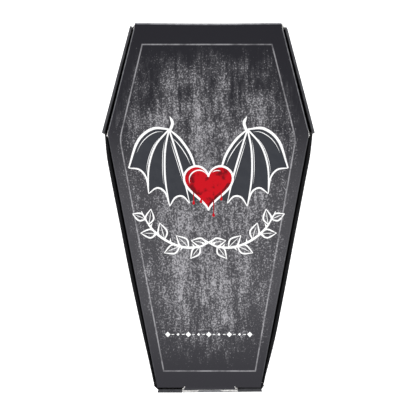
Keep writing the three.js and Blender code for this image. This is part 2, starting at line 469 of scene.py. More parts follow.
def strip_of_board(
    name, stations, path_at, place, materials=BOARD_MATERIALS, bevels=(0.0, 0.0), ends=RAW_ENDS,
):
    """Board with the middle line path_at(station), swept through the stations and put in place.

    The bevels say how far short of each end the printed face stops near the carton's top, as shares
    of half the strip's length."""
    points, wear_and_highlight, faces, sides = [], [], [], []
    last = len(stations) - 1
    for k, station in enumerate(stations):
        outer, inner = board_section(path_at(station))
        bevel = bevels[0] if k == 0 else bevels[1] if k == last else 0.0
        for u, z, rub_and_highlight in outer:
            short = bevel * ramp(z, TOP - 3 * MM, TOP - 1 * MM)
            points.append(place(lerp(station, stations[last // 2], short), u, z))
            wear_and_highlight.append(rub_and_highlight)
        for u, z, rub_and_highlight in inner[::-1]:
            points.append(place(station, u, z))
            wear_and_highlight.append(0.0)
    count = len(outer)
    ring = 2 * count
    for k in range(last):
        base = k * ring
        for i in range(ring):
            j = (i + 1) % ring
            faces.append((base + i, base + j, base + ring + j, base + ring + i))
            on_cut = i in (count - 1, ring - 1)
            sides.append(CUT_SIDE if on_cut else PRINT_SIDE if i < count else BARE_SIDE)
    for base, side in zip((0, last * ring), ends):
        for i in range(count - 1):
            faces.append((base + i, base + i + 1, base + ring - 2 - i, base + ring - 1 - i))
            sides.append(side)
    return new_piece(name, points, faces, sides, materials, wear_and_highlight)


def plate(name, outline, place):
    """A flat plate of board. place(u, v, depth) puts its outline in space, with its print at depth 0."""
    count = len(outline)
    points = [place(u, v, 0.0) for u, v in outline] + [place(u, v, BOARD) for u, v in outline]
    faces = [tuple(range(count)), tuple(range(2 * count - 1, count - 1, -1))]
    sides = [PRINT_SIDE, BARE_SIDE]
    for i in range(count):
        j = (i + 1) % count
        faces.append((i, j, count + j, count + i))
        sides.append(CUT_SIDE)
    return new_piece(name, points, faces, sides, BOARD_MATERIALS)


def rounded(corners, radius, steps=5):
    """An outline with each of its corners rounded off."""
    outline = []
    for i, corner in enumerate(corners):
        point = Vector(corner)
        towards = [(Vector(corners[i - 1]) - point), (Vector(corners[(i + 1) % len(corners)]) - point)]
        start, end = [point + d.normalized() * min(radius, d.length / 2) for d in towards]
        for k in range(steps + 1):
            t = k / steps
            outline.append(tuple(start * (1 - t) ** 2 + point * 2 * t * (1 - t) + end * t ** 2))
    return outline


# The tray

CREASE_RADIUS = 0.35 * MM  # of the board's middle line at a sharp fold
WALL_SETBACK = 1.4 * MM  # from a wall's outer face to the line where the floor panel begins
UPPER_BASE_HEAD = 1.45 * MM  # from the lid's edge out to a side wall's outer face, at its foot
UPPER_BASE_SHOULDER = 1.75 * MM
LOWER_BASE = 1.78 * MM
UPPER_TOP_SHOULDER = 2.03 * MM  # and at its fold
LOWER_TOP = 1.85 * MM
UPPER_THICKNESS_HEAD = 0.92 * MM
UPPER_THICKNESS_SHOULDER = 1.08 * MM
LOWER_THICKNESS = 1.28 * MM
THINNEST_ROLL = 0.5 * MM
FLAP_ROOM = 0.4 * MM  # for a flap's crease to swell as it bends
# Painted sheen: the upper walls' folds are lightened, as their flatter tops catch more light than the lower
# walls'.
UPPER_FOLD_PAINTED_SHEEN = 0.22
FOOT_WALL_LOW, FOOT_WALL_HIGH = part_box("foot_wall")
FOOT_THICKNESS = FOOT_WALL_HIGH.y - FOOT_WALL_LOW.y


def from_floor(base):
    """Middle line from the floor panel round the crease, up to a wall with its outer face at base."""
    bend = HALF + CREASE_RADIUS
    return [(base - WALL_SETBACK, HALF, 0.0)] + arc(base - bend, bend, CREASE_RADIUS, -90, 0, 5, 0.5)


def rolled_path(base, top, thickness, top_z, wear_and_highlight):
    """Middle line of a rolled-over wall: from the floor up the outer ply, over the fold and down inside.

    base and top are how far out the outer face lies at the floor and at the fold."""
    roll = (thickness - BOARD) / 2
    rise = top_z - HALF - roll
    lean = (top - base) / rise
    path = from_floor(base)
    for t in (0.3, 0.6, 0.85):
        z = lerp(HALF + CREASE_RADIUS, rise, t)
        path.append((base - HALF + lean * z, z, 0.0))
    path += arc(top - HALF - roll, rise, roll, 0, 180, FOLD_STEPS, wear_and_highlight)
    inner_top, inner_base = top - HALF - 2 * roll, base - HALF - 2 * roll
    for t in (0.2, 0.6):
        path.append((lerp(inner_top, inner_base, t), lerp(rise, BOARD, t), 0.0))
    path.append((inner_base, BOARD + 0.1 * MM, 0.0))
    return path


def side_wall(name, node, side, edge, start_y, end_y, profile, materials, mitre=0.0):
    """A rolled side wall. profile(y) gives its base, top, thickness, height and the painted sheen on its
    fold.

    mitre is how far the head end's top is drawn back for each length in from the wall's outer face."""

    def path_at(y):
        return rolled_path(*profile(y))

    def place(y, u, z):
        drawn_back = mitre * max(0.0, WALL_SETBACK - u) * ramp(z, 0.5 * TOP, TOP)
        y -= drawn_back * ramp(y, start_y - 4 * MM, start_y)
        return on_carton(side, edge.x(y, u), y, z)

    stations = wall_stations(start_y, end_y)
    wall = strip_of_board(name, stations, path_at, place, materials, ends=PRINTED_ENDS)
    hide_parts(node)
    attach(wall, "tray")


def wobble(y, seed):
    """A slow, small wander along a fold, about 1 at most."""
    turns = y / (60 * MM)
    slow = math.sin(2 * math.pi * (turns + seed))
    quick = math.sin(2 * math.pi * (2.3 * turns + 3 * seed))
    return 0.6 * slow + 0.4 * quick


END_ROUNDING = 0.9 * MM


def rounding(y, end_y):
    """How far a wall's top is drawn in near its end, so that the corner comes out round."""
    left = max(0.0, 1 - abs(y - end_y) / END_ROUNDING)
    return 0.45 * MM * (1 - math.sqrt(1 - left ** 2))


def upper_wall(label, side, start_y, head_offset, mitre, seed):
    """An upper wall, which flares towards its square shoulder end."""
    low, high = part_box(f"upper_wall_{label}")

    def profile(y):
        t = (high.y - y) / (high.y - low.y)
        base = lerp(UPPER_BASE_HEAD, UPPER_BASE_SHOULDER, t)
        top = lerp(head_offset, UPPER_TOP_SHOULDER, t) + 0.03 * MM * wobble(y, seed)
        thickness = lerp(UPPER_THICKNESS_HEAD, UPPER_THICKNESS_SHOULDER, t)
        height = TOP - (0.03 + 0.02 * wobble(y, seed + 0.3)) * MM
        return base, top - rounding(y, start_y), thickness, height, UPPER_FOLD_PAINTED_SHEEN

    node = f"upper_wall_{label}"
    end_y = low.y + 0.2 * MM
    side_wall(f"carton_{node}", node, side, UPPER_EDGE, start_y, end_y, profile, ROLLED_MATERIALS, mitre)


def lower_wall(label, side, shoulder_offset, foot_offset, foot_from, seed):
    """A lower wall, whose top is drawn in towards both ends. foot_from says from where, as a share."""
    low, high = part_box(f"lower_wall_{label}")

    def profile(y):
        t = (high.y - y) / (high.y - low.y)
        top = lerp(shoulder_offset, LOWER_TOP, ramp(t, -0.05, 0.11))
        top -= (LOWER_TOP - foot_offset) * ramp(t, foot_from, 1.05)
        top += 0.05 * MM * wobble(y, seed) - rounding(y, low.y)
        thickness = max(THINNEST_ROLL, min(LOWER_THICKNESS, top - FLAP_ROOM))
        height = TOP - (0.06 + 0.03 * wobble(y, seed + 0.6)) * MM
        return LOWER_BASE, top, thickness, height, 0.0

    node = f"lower_wall_{label}"
    side_wall(f"carton_{node}", node, side, LOWER_EDGE, high.y, low.y, profile, DULL_ROLLED_MATERIALS)


def tray_walls():
    upper_wall("left", -1, 64.25 * MM, 1.48 * MM, 1.0, 0.13)
    upper_wall("right", 1, 63.65 * MM, 1.58 * MM, 0.4, 0.58)
    lower_wall("left", -1, 0.7 * MM, 0.85 * MM, 0.55, 0.31)
    lower_wall("right", 1, 0.95 * MM, 0.62 * MM, 0.76, 0.77)


HEAD_BOW = 0.3 * MM  # how far the head fold is drawn in at its middle
HEAD_BAND_FOOT = 1.6 * MM  # below the top, where the hinge's bending band begins
HEAD_BAND_REACH = 1.3 * MM  # and how far onto the lid it goes
HEAD_BAND_RADIUS = 0.45 * MM
HEAD_HALF = HEAD_CORNER.x - 0.05 * MM


def at_head(x, u, z):
    """A point of the head wall or its hinge, u out from the head edge, which bows in at its middle."""
    across = min(1.0, abs(x) / HEAD_CORNER.x)
    bow = HEAD_BOW * (1 - across ** 2) * ramp(z, 0.3 * TOP, TOP)
    spread = 1 - u * UPPER_EDGE.slope / HEAD_HALF
    return Vector((x * spread, HEAD_Y + u - bow, z))


def head_wall():
    def path_at(x):
        path = from_floor(0.0)
        for t in (0.25, 0.5, 0.75, 1.0):
            path.append((-HALF, lerp(HALF + CREASE_RADIUS, TOP - HEAD_BAND_FOOT, t), 0.0))
        return path

    stations = steps_between(-HEAD_HALF, HEAD_HALF, STATION)
    wall = strip_of_board("carton_head_wall", stations, path_at, at_head)
    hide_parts("head_wall")
    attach(wall, "tray")


def corner_web(name, side, start, end, top, lean=0.0, materials=BOARD_MATERIALS):
    """The web of board that closes a corner of the tray, up to top, where it leans out a little."""
    start, end = Vector(start) * MM, Vector(end) * MM
    run = (end - start).normalized()
    outwards = Vector((-run.y, run.x))

    def path_at(t):
        return [
            (0.0, BOARD, 0.0),
            (0.0, 0.8 * top, 0.0),
            (lean * 0.3, top - 1.5 * MM, 0.0),
            (lean, top, 0.0),
        ]

    def place(t, u, z):
        spot = start.lerp(end, t) + outwards * u
        return on_carton(side, spot.x, spot.y, z)

    web = strip_of_board(name, steps_between(0, 1, 0.25), path_at, place, materials)
    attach(web, "tray")


HEAD_WEB_TOP = TOP - 0.5 * MM
FOOT_WEB_TOP = TOP - 10 * MM


def corner_webs():
    """The four webs, each with its own start and end in millimetres, as the carton was made up."""
    head, foot = "carton_head_corner", "carton_foot_corner"
    corner_web(f"{head}_left", -1, (25.7, 64.2), (26.75, 62.9), HEAD_WEB_TOP, 0.0, PRINT_EDGED_MATERIALS)
    corner_web(f"{head}_right", 1, (25.55, 64.5), (26.6, 62.95), HEAD_WEB_TOP, 0.4 * MM)
    corner_web(f"{foot}_left", -1, (19.45, -63.2), (18.0, -64.5), FOOT_WEB_TOP, 0.0, PRINT_EDGED_MATERIALS)
    corner_web(f"{foot}_right", 1, (19.45, -63.2), (18.5, -64.5), FOOT_WEB_TOP, 0.0, PRINT_EDGED_MATERIALS)


def head_hinge():
    """The band of board that is bent round where the lid folds from the head wall."""
    bend = HALF + HEAD_BAND_RADIUS

    def path_at(x):
        path = [(-HALF, TOP - HEAD_BAND_FOOT, 0.0)]
        # The fold is lightened past full wear: a painted highlight on the rounded fold, with some rubbed
        # print.
        path += arc(-bend, TOP - bend, HEAD_BAND_RADIUS, 0, 90, 10, 1.3)
        path.append((-HEAD_BAND_REACH, TOP - HALF, 0.0))
        return path

    stations = wall_stations(-HEAD_HALF, HEAD_HALF)
    band = strip_of_board("carton_hinge_crease", stations, path_at, at_head, MARGIN_MATERIALS)
    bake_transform(band)


TAB_LOW, TAB_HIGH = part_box("lock_tab")
SLOT_PLAY = 0.35 * MM
SLOT_REACH = TAB_HIGH.x + SLOT_PLAY
FOOT_SHIFT = 0.3 * MM  # of the foot wall and the tab, beyond the carton's lean
SLOT_SKEW = 0.32 * MM  # how much further in the foot wall stands at its right end


def at_foot(x, y, z):
    return on_carton(1, x + FOOT_SHIFT, y, z)


def curled(x):
    """1 where the slot's outer ply curls in at its middle, and 0 where it stands up."""
    return ramp(x, -4.4 * MM, -3.6 * MM) * (1 - ramp(x, 3.9 * MM, 4.3 * MM))


# The outer ply's middle line at the slot, upright and curled in: out, and up from the carton's top.
UPRIGHT = [(1.42, -5.0), (1.40, -3.0), (1.34, -1.6), (1.16, -0.8), (0.92, -0.14)]
CURLED = [(1.44, -5.0), (1.44, -2.6), (1.32, -1.2), (1.02, -0.46), (0.64, -0.28)]
# The curled-in ply's printed face is lightened: a painted highlight where it leans up into the light.
CURL_PAINTED_HIGHLIGHT = 0.7
SLOT_STATION = 0.4 * MM
SLOT_BEVEL = 0.05


def on_foot_wall(x, u, z):
    """A point of the foot wall, u out from its inner face, with its ends drawn in a little inside."""
    skew = SLOT_SKEW * ramp(x, -SLOT_REACH, FOOT_WALL_HIGH.x) * ramp(z, 0.5 * TOP, TOP)
    inside = 1 - u / FOOT_THICKNESS
    mitre = 1 - 0.02 * inside * ramp(abs(x), SLOT_REACH, FOOT_WALL_HIGH.x)
    return at_foot(x * mitre, FOOT_Y + FOOT_THICKNESS - u + skew, z)


def rolled_foot(x):
    top, roll = FOOT_THICKNESS - 0.06 * MM, FOOT_THICKNESS - 0.16 * MM
    # Its fold's crest is lightened a little: a faint painted highlight.
    return rolled_path(FOOT_THICKNESS, top, roll, TOP - 0.12 * MM, 0.12)


def slot_outer_ply(x):
    path = from_floor(FOOT_THICKNESS)
    path.append((FOOT_THICKNESS - HALF, 0.6 * TOP, 0.0))
    bend = curled(x)
    for i, (upright, curl) in enumerate(zip(UPRIGHT, CURLED)):
        u, up = lerp(upright[0], curl[0], bend), lerp(upright[1], curl[1], bend)
        path.append((u * MM, TOP + up * MM, CURL_PAINTED_HIGHLIGHT * bend if i > 2 else 0.0))
    return path


def slot_inner_ply(x):
    return [(HALF, TOP - 0.85 * MM, 0.0), (HALF, 0.5 * TOP, 0.0), (HALF, BOARD + 0.1 * MM, 0.0)]


def foot_stretch(name, start, end, bevels, ends):
    """A rolled stretch of the foot wall beside the slot."""
    stations = wall_stations(start, end)
    return strip_of_board(name, stations, rolled_foot, on_foot_wall, ROLLED_MATERIALS, bevels, ends)


def foot_wall():
    """The rolled foot wall. The slot's edges are cut through its fold between two rolled stretches."""
    left_end, right_end = FOOT_WALL_LOW.x, FOOT_WALL_HIGH.x
    slot = steps_between(-SLOT_REACH, SLOT_REACH, SLOT_STATION)
    left_ends, right_ends = (PRINT_SIDE, CUT_SIDE), (CUT_SIDE, PRINT_SIDE)
    left = foot_stretch("carton_foot_wall", left_end, -SLOT_REACH, (0, SLOT_BEVEL), left_ends)
    right = foot_stretch("carton_foot_wall_right", SLOT_REACH, right_end, (SLOT_BEVEL, 0), right_ends)
    outer = strip_of_board("carton_slot_outer_ply", slot, slot_outer_ply, on_foot_wall)
    inner = strip_of_board("carton_slot_inner_ply", slot, slot_inner_ply, on_foot_wall)
    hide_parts("foot_wall")
    for piece in (left, right, outer, inner):
        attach(piece, "tray")


def floor_panel():
    """The back panel, inside the creases that the walls rise from."""
    head_y, foot_y = HEAD_Y - WALL_SETBACK, FOOT_Y + WALL_SETBACK
    right = [
        (UPPER_EDGE.x(head_y, UPPER_BASE_HEAD - WALL_SETBACK), head_y),
        (LOWER_EDGE.x(SHOULDER.y, LOWER_BASE - WALL_SETBACK), SHOULDER.y),
        (LOWER_EDGE.x(foot_y, LOWER_BASE - WALL_SETBACK), foot_y),
    ]
    outline = right + [(-x, y) for x, y in reversed(right)]

    def place(u, v, depth):
        return on_carton(1, u, v, depth)

    panel = plate("carton_floor", outline, place)
    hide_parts("floor")
    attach(panel, "tray")


# Artwork on the lid, in millimetres: a winged heart over two thorn branches and a row of diamonds

def curve_through(points, steps=6):
    """Points of a smooth curve through the given ones."""
    points = [Vector(p) for p in points]
    path = [points[0] * 2 - points[1]] + points + [points[-1] * 2 - points[-2]]
    curve = []
    for a, b, c, d in zip(path, path[1:], path[2:], path[3:]):
        for i in range(steps):
            t = i / steps
            curve.append(
                0.5 * (2 * b + (c - a) * t + (2 * a - 5 * b + 4 * c - d) * t ** 2
                       + (3 * b - a - 3 * c + d) * t ** 3)
            )
    return curve + [points[-1]]


def stroke(curve, width, start=0.25, end=0.1):
    """A brush stroke along a curve, in four-sided pieces. start and end are the tips' shares of width."""
    last = len(curve) - 1
    left, right = [], []
    for i, point in enumerate(curve):
        t = i / last
        direction = (curve[min(i + 1, last)] - curve[max(i - 1, 0)]).normalized()
        normal = Vector((-direction.y, direction.x))
        share = min(1.0, lerp(start, 1.0, t / 0.3), lerp(end, 1.0, (1 - t) / 0.3))
        left.append(point + normal * width * share / 2)
        right.append(point - normal * width * share / 2)
    return [[left[i], left[i + 1], right[i + 1], right[i]] for i in range(last)]


class Artwork:
    """Printed shapes in the order that they are laid down, each with its ink's index."""

    def __init__(self):
        self.shapes = []

    def fill(self, ink_index, outline):
        outline = [Vector(p) for p in outline]
        area = sum(a.cross(b) for a, b in zip(outline, outline[1:] + outline[:1]))
        self.shapes.append((ink_index, outline if area > 0 else outline[::-1]))

    def line(self, ink_index, curve, width, start=0.25, end=0.1):
        for quad in stroke(curve, width, start, end):
            self.fill(ink_index, quad)


def mirrored(points, side):
    return [Vector((side * p[0], p[1])) for p in points]


LID_MATERIALS = [STONE, BARE, CUT, WHITE_INK, DARK_INK, RED_INK, DEEP_RED_INK]
STONE_SIDE, _, _, WHITE, DARK, RED, DEEP_RED = range(7)

WRIST = (13.8, 27.6)
ARM = [(4.0, 12.0), (6.2, 18.6), (9.8, 24.0), WRIST]
LEADING_EDGE = [WRIST, (19.6, 27.8), (24.8, 23.4), (28.0, 14.0)]
WEB = [
    [(28.0, 14.0), (24.2, 13.4), (21.8, 10.4), (21.0, 5.0)],
    [(21.0, 5.0), (18.0, 7.0), (15.2, 5.4), (13.6, 0.6)],
    [(13.6, 0.6), (11.6, 3.6), (9.0, 4.0), (6.6, 1.6)],
]
RIBS = [
    [WRIST, (18.6, 21.8), (21.0, 14.0), (21.0, 5.0)],
    [WRIST, (15.2, 20.0), (15.2, 10.2), (13.6, 0.6)],
    [WRIST, (11.4, 20.0), (8.8, 11.2), (6.6, 1.6)],
]
CLAW = [(13.4, 27.2), (12.6, 29.8), (13.6, 32.2)]


def draw_wing(art, side):
    pieces = [curve_through(p) for p in [ARM, LEADING_EDGE, *WEB]]
    outline = [point for piece in pieces for point in piece[:-1]] + [Vector((1.0, 4.0))]
    art.fill(DARK, mirrored(outline, side))
    for piece, width in zip(pieces, (0.85, 0.95, 0.6, 0.6, 0.6)):
        art.line(WHITE, mirrored(piece, side), width, 0.5, 0.5)
    for rib in RIBS:
        curve = curve_through(rib)
        art.line(WHITE, mirrored(curve, side), 0.62, 0.9, 0.3)
        beside = [point + Vector((0.75, -0.2)) for point in curve[3:-5]]
        art.line(WHITE, mirrored(beside, side), 0.2, 0.1, 0.1)
    inner_arm = [point + Vector((1.0, -1.3)) for point in pieces[0][4:-3]]
    art.line(WHITE, mirrored(inner_arm, side), 0.28, 0.1, 0.1)
    inner_edge = [point + Vector((-0.9, -1.3)) for point in pieces[1][3:-4]]
    art.line(WHITE, mirrored(inner_edge, side), 0.26, 0.1, 0.1)
    art.line(WHITE, mirrored(curve_through(CLAW), side), 1.0, 1.0, 0.05)


HEART_MIDDLE = Vector((0, 8.2))
HEART_SIZE = 0.54


def heart_point(angle, size=HEART_SIZE):
    """A point of the heart's outline, which runs clockwise from the notch."""
    x = 16 * math.sin(angle) ** 3
    y = 13 * math.cos(angle) - 5 * math.cos(2 * angle) - 2 * math.cos(3 * angle) - math.cos(4 * angle)
    return HEART_MIDDLE + Vector((x, y)) * size


def heart_arc(start, end, size, steps=20):
    return [heart_point(lerp(start, end, i / steps), size) for i in range(steps + 1)]


DRIPS = [(-5.2, 5.6, 0.7), (-2.6, 3.0, 0.6), (1.8, 7.2, 0.8), (4.5, 3.6, 0.6)]  # x, length and width
DROP_CORNERS = 14


def draw_drip(art, x, length, width):
    """A thin run of colour from the heart's lower edge, with a drop at its end."""
    top = HEART_MIDDLE.y - 4.4 + abs(x) * 0.8
    bottom = top - length
    funnel = [(x - width, top + 0.9), (x - width * 0.3, top - 0.6), (x - 0.15, bottom)]
    art.fill(RED, funnel + [(2 * x - px, py) for px, py in reversed(funnel)])
    drop = []
    for i in range(DROP_CORNERS):
        angle = 2 * math.pi * i / DROP_CORNERS
        narrowed = 0.42 * (1 - 0.35 * math.cos(angle))
        drop.append((x + narrowed * math.sin(angle), bottom - 0.5 + 0.75 * math.cos(angle)))
    art.fill(RED, drop)


def draw_heart(art):
    whole = heart_arc(0, 2 * math.pi, HEART_SIZE, 60)
    art.fill(RED, whole[:-1])
    shade = heart_arc(0.55 * math.pi, 0.98 * math.pi, HEART_SIZE)
    shade += heart_arc(0.98 * math.pi, 0.55 * math.pi, HEART_SIZE * 0.78)
    art.fill(DEEP_RED, shade)
    art.line(WHITE, whole[:31], 0.75, 0.7, 0.7)
    art.line(WHITE, whole[30:], 0.75, 0.7, 0.7)
    art.line(WHITE, heart_arc(-0.12 * math.pi, -0.55 * math.pi, HEART_SIZE * 0.78), 0.42, 0.1, 0.1)
    art.line(WHITE, heart_arc(0.2 * math.pi, 0.34 * math.pi, HEART_SIZE * 0.76), 0.3, 0.1, 0.1)
    for drip in DRIPS:
        draw_drip(art, *drip)


# A branch's course, its leaves by share along it, side and length, and its thorns by share and side.
BRANCH = [(-1.6, -11.2), (3.0, -13.6), (9.0, -13.8), (15.4, -11.2), (20.4, -6.8), (23.6, -1.2)]
LEAVES = [
    (0.12, 1, 5.6),
    (0.22, -1, 5.4),
    (0.36, 1, 6.2),
    (0.46, -1, 6.0),
    (0.60, 1, 6.2),
    (0.70, -1, 5.8),
    (0.84, 1, 5.6),
    (0.92, -1, 5.0),
]
THORNS = [(0.14, 1), (0.28, 1), (0.43, -1), (0.56, 1), (0.70, -1), (0.83, 1)]
LEAF_TURN = 40  # degrees between a leaf and its branch
THORN_TURN = 62
THORN_LENGTH = 1.7


def along_curve(curve, share):
    """The point and direction at a share of a curve's points."""
    i = min(int(share * (len(curve) - 1)), len(curve) - 2)
    return curve[i], (curve[i + 1] - curve[i]).normalized()


def turned(direction, degrees):
    c, s = math.cos(math.radians(degrees)), math.sin(math.radians(degrees))
    return Vector((direction.x * c - direction.y * s, direction.x * s + direction.y * c))


def draw_leaf(art, base, direction, length, side):
    normal = Vector((-direction.y, direction.x))
    for sign in (-1, 1):
        bulge = base + (direction * 0.42 + normal * sign * 0.26) * length
        rim = [base, bulge, base + direction * length]
        art.line(WHITE, mirrored(curve_through(rim, 7), side), 0.55, 0.6, 0.4)
    vein = [base, base + direction * length * 0.45 + normal * 0.1, base + direction * length * 0.8]
    art.line(WHITE, mirrored(curve_through(vein, 4), side), 0.22, 0.8, 0.1)


def draw_branch(art, side):
    curve = curve_through(BRANCH)
    art.line(WHITE, mirrored(curve, side), 0.8, 0.5, 0.3)
    for share, way, length in LEAVES:
        base, direction = along_curve(curve, share)
        draw_leaf(art, base, turned(direction, way * LEAF_TURN), length, side)
    for share, way in THORNS:
        base, direction = along_curve(curve, share)
        tip = base + turned(direction, way * THORN_TURN) * THORN_LENGTH
        thorn = [base - direction * 0.5, tip, base + direction * 0.5]
        art.fill(WHITE, mirrored(thorn, side))


ROW_Y = -44.5
ROW_PITCH = 3.6
ROW_COUNT = 9
DIAMOND_HALF = 0.95
BAR_HALF_LENGTH = 0.45
BAR_HALF_WIDTH = 0.13


def draw_row(art):
    """A small row of large and small diamonds with short bars between them."""
    for i in range(ROW_COUNT):
        x = (i - (ROW_COUNT - 1) / 2) * ROW_PITCH
        half = DIAMOND_HALF if i % 2 == 0 else DIAMOND_HALF * 0.55
        art.fill(WHITE, [(x - half, ROW_Y), (x, ROW_Y + half), (x + half, ROW_Y), (x, ROW_Y - half)])
        if i < ROW_COUNT - 1:
            middle = x + ROW_PITCH / 2
            left, right = middle - BAR_HALF_LENGTH, middle + BAR_HALF_LENGTH
            low, high = ROW_Y - BAR_HALF_WIDTH, ROW_Y + BAR_HALF_WIDTH
            art.fill(WHITE, [(left, low), (right, low), (right, high), (left, high)])


# The lid

SIDE_BAND = 0.9 * MM  # width of the crease bands along the lid's slanted sides
LID_GRID = 3.0 * MM
LID_SAG = 0.22 * MM
LID_FOOT_Y = FOOT_CORNER.y


def lid_top(x, y):
    """Height of the lid's printed face, which sags a little in its middle."""
    edge = UPPER_EDGE if y > SHOULDER.y else LOWER_EDGE
    across = min(1.0, abs(x) / edge.x(y))
    along = (y - LID_FOOT_Y) / (HEAD_CORNER.y - LID_FOOT_Y)
    return TOP - LID_SAG * (1 - across ** 2) * math.sin(math.pi * min(1.0, max(0.0, along)))


def lid_side(edge, flap):
    """Points down a slanted side of the lid, which steps in where a flap's crease band runs."""
    low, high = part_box(flap)
    places = [(high.y, 0.0), (high.y, -SIDE_BAND), (low.y, -SIDE_BAND), (low.y, 0.0)]
    return [Vector((edge.x(y, outwards), y)) for y, outwards in places]


def lid_outline():
    """The lid panel inside its crease bands, anticlockwise and subdivided so that it can sag."""
    head_y = HEAD_Y - HEAD_BAND_REACH
    corners = [Vector((UPPER_EDGE.x(head_y), head_y)), *lid_side(UPPER_EDGE, "upper_flap_right")]
    corners += [SHOULDER, *lid_side(LOWER_EDGE, "lower_flap_right"), FOOT_CORNER]
    right, left = FOOT_SHIFT + TAB_ROOT_HALF, FOOT_SHIFT - TAB_ROOT_HALF
    notch = [
        Vector((right, LID_FOOT_Y)),
        Vector((right, LID_FOOT_Y + TAB_ROOT)),
        Vector((left, LID_FOOT_Y + TAB_ROOT)),
        Vector((left, LID_FOOT_Y)),
    ]
    loop = corners + notch + [Vector((-p.x, p.y)) for p in reversed(corners)]
    outline = []
    for a, b in zip(loop, loop[1:] + loop[:1]):
        count = max(1, round((b - a).length / LID_GRID))
        outline += [a.lerp(b, i / count) for i in range(count)]
    return outline[::-1]


RAW_EDGE = 0.11 * MM
CORNER_RUB = 0.28 * MM


def draw_raw_edges(art, side):
    """The lid's cut edges show as thin light lines above and between the flaps, most at its shoulders."""
    upper_low, upper_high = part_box("upper_flap_right")
    lower_low, lower_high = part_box("lower_flap_right")
    stretches = [
        (UPPER_EDGE, HEAD_Y - HEAD_BAND_REACH, upper_high.y, RAW_EDGE),
        (UPPER_EDGE, upper_low.y, SHOULDER.y, RAW_EDGE),
        (LOWER_EDGE, SHOULDER.y, lower_high.y, RAW_EDGE * 0.6),
        (UPPER_EDGE, SHOULDER.y + CORNER_RUB, SHOULDER.y, RAW_EDGE * 1.7),
        (LOWER_EDGE, SHOULDER.y, SHOULDER.y - CORNER_RUB, RAW_EDGE * 1.7),
    ]
    for edge, start_y, end_y, width in stretches:
        corners = [(start_y, 0.0), (end_y, 0.0), (end_y, -width), (start_y, -width)]
        rim = [Vector((edge.x(y, outwards), y)) / MM for y, outwards in corners]
        art.fill(CUT_SIDE, mirrored(rim, side))


def grid_points():
    """Points all over the lid inside its crease bands, which let its face sag."""
    points = []
    for x in steps_between(-SHOULDER.x, SHOULDER.x, LID_GRID):
        for y in steps_between(LID_FOOT_Y + LID_GRID, HEAD_CORNER.y - LID_GRID, LID_GRID):
            edge = UPPER_EDGE if y > SHOULDER.y else LOWER_EDGE
            if abs(x) < edge.x(y, -SIDE_BAND - LID_GRID / 2):
                points.append(Vector((x, y)))
    return points


INSIDE_OF_FACES = 1  # the triangulation keeps what lies within the outline
SAME_POINT = 1e-5  # millimetres


def lid_panel():
    """One closed sheet whose printed face is divided along the edges of every printed shape."""
    art = Artwork()
    for side in (-1, 1):
        draw_raw_edges(art, side)
    for side in (-1, 1):
        draw_branch(art, side)
        draw_wing(art, side)
    draw_heart(art)
    draw_row(art)
    outline = lid_outline()
    points = [p / MM for p in outline]
    faces = [list(range(len(points)))]
    inks = [STONE_SIDE]
    for ink_index, shape in art.shapes:
        faces.append(list(range(len(points), len(points) + len(shape))))
        points += shape
        inks.append(ink_index)
    points += [p / MM for p in grid_points()]
    flat, _, cells, _, _, origins = delaunay_2d_cdt(points, [], faces, INSIDE_OF_FACES, SAME_POINT, True)
    printed = [(cell, inks[max(origin)]) for cell, origin in zip(cells, origins) if origin]
    closed_sheet("carton_lid", flat, [cell for cell, _ in printed], [side for _, side in printed])


def closed_sheet(name, flat, cells, sides):
    """The lid's body: the divided printed face, the same face below it and the cut edges between them."""
    count = len(flat)
    spots = [(p.x * MM, p.y * MM) for p in flat]
    vertices = [on_carton(1, x, y, lid_top(x, y)) for x, y in spots]
    vertices += [on_carton(1, x, y, lid_top(x, y) - BOARD) for x, y in spots]
    faces = [tuple(cell) for cell in cells]
    rims = {}
    for cell in cells:
        for a, b in zip(cell, list(cell[1:]) + [cell[0]]):
            if (b, a) in rims:
                del rims[(b, a)]
            else:
                rims[(a, b)] = True
    all_sides = list(sides)
    faces += [tuple(count + i for i in reversed(cell)) for cell in cells]
    all_sides += [BARE_SIDE] * len(cells)
    for a, b in rims:
        faces.append((b, a, count + a, count + b))
        all_sides.append(CUT_SIDE)
    lid = new_piece(name, vertices, faces, all_sides, LID_MATERIALS)
    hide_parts("lid")
    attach(lid, "lid")


FLAP_FACE = 0.05 * MM  # how far outside the lid's edge the flaps' printed faces lie
CREASE_BEND = 0.06 * MM
CREASE_LINE_REACH = 0.12 * MM  # how far the light line, rubbed print with a painted highlight, reaches onto the lid
FLAP_TOP = BOARD + 0.3 * MM  # below the lid's top


def side_crease(name, side, edge, node, wear_and_highlight):
    """The band of board that is bent round where a flap folds down from the lid."""
    low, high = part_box(node)
    outer = FLAP_FACE - HALF

    def path_at(y):
        bend_u, bend_z = outer - CREASE_BEND, TOP - HALF - CREASE_BEND
        path = [
            (-SIDE_BAND, TOP - HALF, 0.0),
            (bend_u - CREASE_LINE_REACH, TOP - HALF, 0.0),
            (bend_u - CREASE_LINE_REACH * 0.6, TOP - HALF, wear_and_highlight),
        ]
        path += [(u, z, wear_and_highlight) for u, z, _ in arc(bend_u, bend_z, CREASE_BEND, 90, 0, 8)]
        path.append((outer, TOP - FLAP_TOP, 0.0))
        return path[::-1]

    def place(y, u, z):
        return on_carton(side, edge.x(y, u), y, z)

    stations = steps_between(high.y, low.y, STATION)
    crease = strip_of_board(name, stations, path_at, place, MARGIN_MATERIALS)
    middle = (low.y + high.y) / 2
    start, end = place(middle, -SIDE_BAND, TOP), place(middle, outer, TOP - FLAP_TOP)
    along = Vector((side * edge.slope, -1, 0)).normalized()
    end -= along * (end - start).dot(along)
    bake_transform(crease)
    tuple(start)
    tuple(end)


